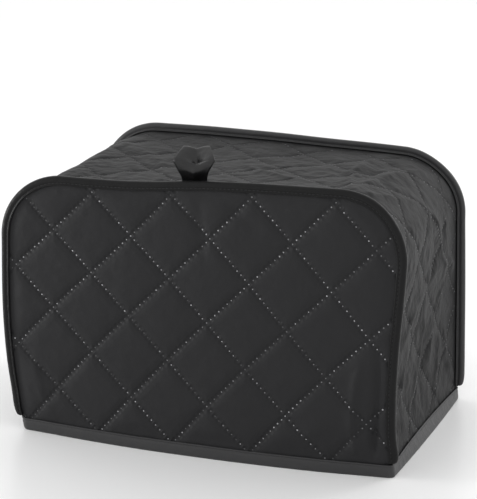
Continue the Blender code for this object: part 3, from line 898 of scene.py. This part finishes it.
def hem(name, material):
    """Tape folded round the lower edge of all the cloth, a closed ring that stands on the table."""
    rows = []
    level = 3.1
    upper_edge = HEM_SECTION[0][1]
    for x, y, out_x, out_y in hem_line():
        place = Vector((x / TAPE_WAVE_SCALE, y / TAPE_WAVE_SCALE, level))
        wave = TAPE_WAVE * noise.noise(place)
        row = []
        for inside, height in HEM_SECTION:
            share = smooth(height / upper_edge)
            d = inside * MM - wave * share * HEM_LEAN
            z = height * MM + wave * share
            row.append(settle((x - out_x * d, y - out_y * d, z)))
        rows.append(row)
    faces = [tuple(reversed(face)) for face in swept(rows, closed=True)]
    tape = new_object(name, [p for row in rows for p in row], faces, [material])
    thicken(tape, TAPE)
    return tape


def add_stitch(points, faces, path, out):
    """One stitch of thread: a thin rod along a short path that dips into the tape at its ends."""
    first = len(points)
    for i in range(THREAD_RINGS):
        t = i / (THREAD_RINGS - 1)
        swell = math.sin(math.pi * t)
        centre = path[0].lerp(path[1], t) + out * THREAD_RADIUS * (swell * STITCH_BOW - STITCH_DIP)
        ahead = (path[1] - path[0]).normalized()
        beside = ahead.cross(out).normalized()
        size = THREAD_RADIUS * (THREAD_END + (1 - THREAD_END) * swell)
        for k in range(THREAD_SIDES):
            angle = 2 * math.pi * k / THREAD_SIDES
            points.append(centre + (beside * math.cos(angle) + out * math.sin(angle)) * size)
    for i in range(THREAD_RINGS - 1):
        for k in range(THREAD_SIDES):
            after = (k + 1) % THREAD_SIDES
            low = first + i * THREAD_SIDES
            high = low + THREAD_SIDES
            faces.append((low + k, low + after, high + after, high + k))
    faces.append(tuple(first + k for k in reversed(range(THREAD_SIDES))))
    top = first + (THREAD_RINGS - 1) * THREAD_SIDES
    faces.append(tuple(top + k for k in range(THREAD_SIDES)))


def stitch_row(name, line, closed, material, rng):
    """A row of stitches along a line of points, each with its outward direction."""
    points = []
    faces = []
    if closed:
        line = line + line[:1]
    runs = [0.0]
    for (here, _), (there, _) in zip(line, line[1:]):
        runs.append(runs[-1] + (there - here).length)
    at = STITCH_PITCH / 2
    i = 0
    while at + STITCH_LENGTH < runs[-1]:
        ends = []
        for place in (at, at + STITCH_LENGTH):
            while runs[i + 1] < place:
                i += 1
            share = (place - runs[i]) / (runs[i + 1] - runs[i])
            ends.append((line[i][0].lerp(line[i + 1][0], share), line[i][1]))
        add_stitch(points, faces, (ends[0][0], ends[1][0]), ends[0][1])
        at += STITCH_PITCH * rng.uniform(*STITCH_UNEVEN)
        i = max(i - 2, 0)
    return new_object(name, points, faces, [material])


def seam_stitches(name, end, material, rng):
    """The stitches that hold a binding, on its leg in front of the panel."""
    inside, behind = SEAM_STITCH
    line = []
    for station in seam_stations(BINDING_FOOT):
        x, z = inset(station, narrowed(inside * MM, station[1]))
        line.append((settle((x, depth_at(end, behind * MM), z)), Vector((0, end, 0))))
    return stitch_row(name, line, False, material, rng)


def hem_stitches(name, material, rng):
    """The stitches near the upper edge of the hem's tape."""
    inside, height = HEM_STITCH
    line = []
    for x, y, out_x, out_y in hem_line():
        d = inside * MM
        line.append((settle((x - out_x * d, y - out_y * d, height * MM)), Vector((out_x, out_y, 0))))
    return stitch_row(name, line, True, material, rng)


def loop_handle(name, material):
    """A ribbon bent into a loop, its ends behind the front seam and its middle pressed in."""
    foot_y = depth_at(FRONT, LIP_END + GAP)
    foot_z = HEIGHT - FIN
    centre = Vector((LOOP_X, foot_y + LOOP_MIDDLE[0] * MM, foot_z + LOOP_MIDDLE[1] * MM))
    rows = []
    last_row = LOOP_ROWS[-1][0]
    count = last_row * LOOP_ROW_STEPS
    for i in range(count + 1):
        key = i / LOOP_ROW_STEPS
        back, up, aside, width, hollow = (read_table(LOOP_ROWS, column, key) for column in range(1, 6))
        middle = Vector((LOOP_X + aside * MM, foot_y + back * MM, foot_z + up * MM))
        inward = centre - middle
        inward.x = 0
        inward.normalize()
        row = []
        for k in range(LOOP_COLUMN_STEPS + 1):
            place = 2 * k / LOOP_COLUMN_STEPS - 1
            pressed = hollow * MM * (1 - abs(place)) ** LOOP_HOLLOW_FALL
            row.append(settle(middle + Vector((place * width / 2 * MM, 0, 0)) + inward * pressed))
        rows.append(row)
    faces = [tuple(reversed(face)) for face in swept(rows, closed=False)]
    ribbon = new_object(name, [p for row in rows for p in row], faces, [material])
    thicken(ribbon, RIBBON)
    return ribbon


def add_node(tree, kind, inputs, **settings):
    """A shader node with its settings and its inputs, each a value or another node's output."""
    made = tree.nodes.new(kind)
    for key, value in settings.items():
        setattr(made, key, value)
    for key, value in inputs.items():
        if isinstance(value, bpy.types.NodeSocket):
            tree.links.new(value, made.inputs[key])
        else:
            made.inputs[key].default_value = value
    return made


def calc(tree, operation, first, second=0.0):
    return add_node(tree, "ShaderNodeMath", {0: first, 1: second}, operation=operation).outputs[0]


def plain_material(name, colour, roughness, sheen=0.0, specular=0.5):
    material = bpy.data.materials.new(name)
    material.use_nodes = True
    shader = material.node_tree.nodes["Principled BSDF"]
    shader.inputs["Base Color"].default_value = (*colour, 1.0)
    shader.inputs["Roughness"].default_value = roughness
    shader.inputs["Specular IOR Level"].default_value = specular
    shader.inputs["Sheen Weight"].default_value = sheen
    shader.inputs["Sheen Roughness"].default_value = SHEEN_ROUGHNESS
    return material


def off_line(tree, value):
    """How far a value is from the nearest whole number."""
    return calc(tree, "ABSOLUTE", calc(tree, "SUBTRACT", value, calc(tree, "ROUND", value)))


def weld_distance(tree, line, run):
    """Distance to the nearest welded spot of one set of lines, in millimetres."""
    side_mm = math.hypot(PITCH_ACROSS, PITCH_UP) / 2 / MM
    across = calc(tree, "MULTIPLY", off_line(tree, line), side_mm)
    along = calc(tree, "MULTIPLY", off_line(tree, calc(tree, "MULTIPLY", run, WELDS)), side_mm / WELDS)
    squares = calc(tree, "ADD", calc(tree, "MULTIPLY", across, across), calc(tree, "MULTIPLY", along, along))
    return calc(tree, "SQRT", squares)


def rising(tree, distance, start, end, height):
    """A height that goes softly from 0 to its full value between two distances."""
    inputs = {"Value": distance, "From Min": start, "From Max": end, "To Min": 0.0, "To Max": height}
    return add_node(tree, "ShaderNodeMapRange", inputs, interpolation_type="SMOOTHSTEP").outputs[0]


def noise_height(tree, place, scale, detail, roughness, height):
    """The height of an uneven surface at a place."""
    inputs = {"Vector": place, "Scale": scale, "Detail": detail, "Roughness": roughness}
    return calc(tree, "MULTIPLY", add_node(tree, "ShaderNodeTexNoise", inputs).outputs[0], height)


def add_relief(tree, height):
    """Shades a material's surface with this height, given in millimetres."""
    bump = add_node(tree, "ShaderNodeBump", {"Height": height, "Distance": MM, "Strength": 1.0})
    tree.links.new(bump.outputs[0], tree.nodes["Principled BSDF"].inputs["Normal"])


def cloth_material(name, colour, roughness, crumpled):
    """Smooth woven cloth, drawn in at each welded spot and along the welded lines."""
    material = plain_material(name, colour, roughness, specular=CLOTH_SPECULAR)
    tree = material.node_tree
    place = add_node(tree, "ShaderNodeUVMap", {}, uv_map="quilting").outputs["UV"]
    parts = add_node(tree, "ShaderNodeSeparateXYZ", {0: place})
    p = calc(tree, "SUBTRACT", parts.outputs[0], parts.outputs[1])
    q = calc(tree, "ADD", parts.outputs[0], parts.outputs[1])
    side_mm = math.hypot(PITCH_ACROSS, PITCH_UP) / 2 / MM
    spot = calc(tree, "MINIMUM", weld_distance(tree, p, q), weld_distance(tree, q, p))
    line = calc(tree, "MULTIPLY", calc(tree, "MINIMUM", off_line(tree, p), off_line(tree, q)), side_mm)
    dimple = rising(tree, spot, DIMPLE_REACH[0], DIMPLE_REACH[1], DIMPLE_DEPTH)
    pinch = rising(tree, line, 0.0, PINCH_REACH, PINCH_DEPTH)
    crumples = noise_height(tree, place, CLOTH_CRUMPLE_SCALE, 2.0, 0.5, crumpled)
    weave = noise_height(tree, place, CLOTH_WEAVE_SCALE, 1.0, 0.6, CLOTH_WEAVE_DEPTH)
    height = calc(tree, "ADD", calc(tree, "ADD", dimple, pinch), crumples)
    add_relief(tree, calc(tree, "ADD", height, weave))
    return material


def woven_material(name, colour, roughness, specular):
    """Tape or ribbon with fine ribs in its weave, by place in space."""
    material = plain_material(name, colour, roughness, sheen=TAPE_SHEEN, specular=specular)
    tree = material.node_tree
    place = add_node(tree, "ShaderNodeTexCoord", {}).outputs["Object"]
    weave = noise_height(tree, place, WEAVE_SCALE, 2.0, 0.6, WEAVE_DEPTH)
    crinkles = noise_height(tree, place, CRINKLE_SCALE, 2.0, 0.5, CRINKLE_DEPTH)
    add_relief(tree, calc(tree, "ADD", weave, crinkles))
    return material


def camera():
    """The camera of the photograph."""
    side = math.cos(CAMERA_ELEVATION)
    back = Vector(
        (math.sin(CAMERA_AZIMUTH) * side, -math.cos(CAMERA_AZIMUTH) * side, math.sin(CAMERA_ELEVATION))
    )
    level = (-back).cross(Vector((0, 0, 1))).normalized()
    upright = level.cross(-back)
    right = level * math.cos(CAMERA_ROLL) + upright * math.sin(CAMERA_ROLL)
    up = upright * math.cos(CAMERA_ROLL) - level * math.sin(CAMERA_ROLL)
    data = bpy.data.cameras.new("camera")
    data.lens = CAMERA_LENS
    data.sensor_width = CAMERA_SENSOR
    data.clip_start = CAMERA_NEAR
    data.clip_end = CAMERA_FAR
    result = bpy.data.objects.new("camera", data)
    axes = Matrix((right, up, back)).transposed()
    result.matrix_world = Matrix.Translation(CAMERA_TARGET + back * CAMERA_DISTANCE) @ axes.to_4x4()
    bpy.context.scene.collection.objects.link(result)
    bpy.context.scene.camera = result


def area_light(name, place, target, size, power):
    """A soft rectangular light that is aimed at a point."""
    data = bpy.data.lights.new(name, "AREA")
    data.shape = "RECTANGLE"
    data.size = size[0]
    data.size_y = size[1]
    data.energy = power
    result = bpy.data.objects.new(name, data)
    result.location = place
    result.rotation_mode = "QUATERNION"
    result.rotation_quaternion = (Vector(target) - Vector(place)).to_track_quat("-Z", "Y")
    bpy.context.scene.collection.objects.link(result)


def white_room():
    """A white studio: an even white surround, soft lights at the left and behind, and a pale floor."""
    world = bpy.data.worlds.new("white surround")
    world.use_nodes = True
    background = world.node_tree.nodes["Background"]
    background.inputs["Color"].default_value = (1.0, 1.0, 1.0, 1.0)
    background.inputs["Strength"].default_value = SURROUND
    bpy.context.scene.world = world
    for light in LIGHTS:
        area_light(*light)
    mesh = bpy.data.meshes.new("floor")
    half = FLOOR_SIZE / 2
    corners = [(-half, -half, 0), (half, -half, 0), (half, half, 0), (-half, half, 0)]
    mesh.from_pydata(corners, [], [(0, 1, 2, 3)])
    mesh.materials.append(plain_material("pale_floor", FLOOR_WHITE, FLOOR_ROUGHNESS, specular=FLOOR_SPECULAR))
    floor = bpy.data.objects.new("floor", mesh)
    bpy.context.scene.collection.objects.link(floor)
    bpy.context.scene.view_settings.view_transform = "Standard"
    return floor


def inside_panel(x, z):
    """Whether a welded spot shows on a panel, clear of its tapes."""
    return inset_of(x, z) > TAPE_FRONT_LEG + WELD_RADIUS and z > SEAM_FOOT - WELD_RADIUS


def front_place(across, up):
    return panel_place(FRONT, FRONT_FOLDS, across, up)


def back_place(across, up):
    """A place on the back panel, with across counted as someone behind the cover sees it."""
    return panel_place(BACK, BACK_FOLDS, -across, up)


def main():
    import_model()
    rng = random.Random(7)
    camera()
    floor = white_room()

    cloth = cloth_material("black_quilted_cloth", PANEL_BLACK, roughness=0.6, crumpled=0.8)
    # The strip's cloth carries painted shade: a darker black than the panels'.
    strip_shaded_cloth = cloth_material("black_strip_cloth_painted_shade", STRIP_SHADED_BLACK, roughness=0.55, crumpled=2.2)
    tape = woven_material("black_tape", TAPE_BLACK, roughness=0.42, specular=0.16)
    # The back seam's tape carries painted light: a lighter black than the front seam's tape.
    back_tape_lit = woven_material("black_back_tape_painted_light", BACK_TAPE_LIT_BLACK, roughness=0.4, specular=0.35)
    # The hem's tape carries painted light: a lighter black than the front seam's tape.
    hem_tape_lit = woven_material("black_hem_tape_painted_light", HEM_TAPE_LIT_BLACK, roughness=0.42, specular=0.35)
    ribbon = woven_material("black_ribbon", RIBBON_BLACK, roughness=0.3, specular=0.45)
    thread = plain_material("dark_thread", THREAD_BLACK, roughness=0.6)
    # The spots' painted glints, bright, middling and dim.
    glint_shades = [
        plain_material("weld_painted_glint_bright", WELD_GLINT_BRIGHT, roughness=0.35),
        plain_material("weld_painted_glint_middling", WELD_GLINT_MIDDLING, roughness=0.35),
        plain_material("weld_painted_glint_dim", WELD_GLINT_DIM, roughness=0.4),
    ]

    front = panel("front_panel_cloth", FRONT, FRONT_FOLDS, cloth)
    back = panel("back_panel_cloth", BACK, BACK_FOLDS, cloth)
    strip = gusset("gusset_cloth", strip_shaded_cloth)
    front_tape = binding("front_seam_tape", FRONT, tape)
    back_tape = binding("back_seam_tape", BACK, back_tape_lit)
    hem_tape = hem("hem_tape", hem_tape_lit)
    loop = loop_handle("ribbon_loop", ribbon)

    low, high = (-WIDTH / 2, 0), (WIDTH / 2, HEIGHT)
    spots = [spot for spot in weld_places(PANEL_CROSSING, low, high) if inside_panel(*spot)]
    mirrored = [(-across, up) for across, up in spots]
    front_welds = welds("front_panel_welds", front_place, spots, glint_shades, rng)
    back_welds = welds("back_panel_welds", back_place, mirrored, glint_shades, rng)
    reach = (END_OF_STRIP - SEAM_FOOT + WELD_RADIUS, TURN - GUSSET_MARGIN - WELD_RADIUS)
    spots = weld_places(GUSSET_CROSSING, (-reach[0], -reach[1]), reach)
    # The strip's spots take only the middling and dim painted glints: painted shade on the top and sides.
    strip_welds = welds("gusset_welds", gusset_place, spots, [glint_shades[1], glint_shades[2], glint_shades[2]], rng)

    front_thread = seam_stitches("front_seam_thread", FRONT, thread, rng)
    back_thread = seam_stitches("back_seam_thread", BACK, thread, rng)
    hem_thread = hem_stitches("hem_thread", thread, rng)

    stands_for = (
        (front, "front_panel", "quilted_cloth"),
        (back, "back_panel", "quilted_cloth"),
        (strip, "gusset", "quilted_cloth"),
        (front_tape, "front_binding", "tape"),
        (back_tape, "back_binding", "tape"),
        (hem_tape, "hem_binding", "tape"),
        (loop, "loop_handle", "ribbon"),
    )
    for piece, node, slot in stands_for:
        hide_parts(node)


main()
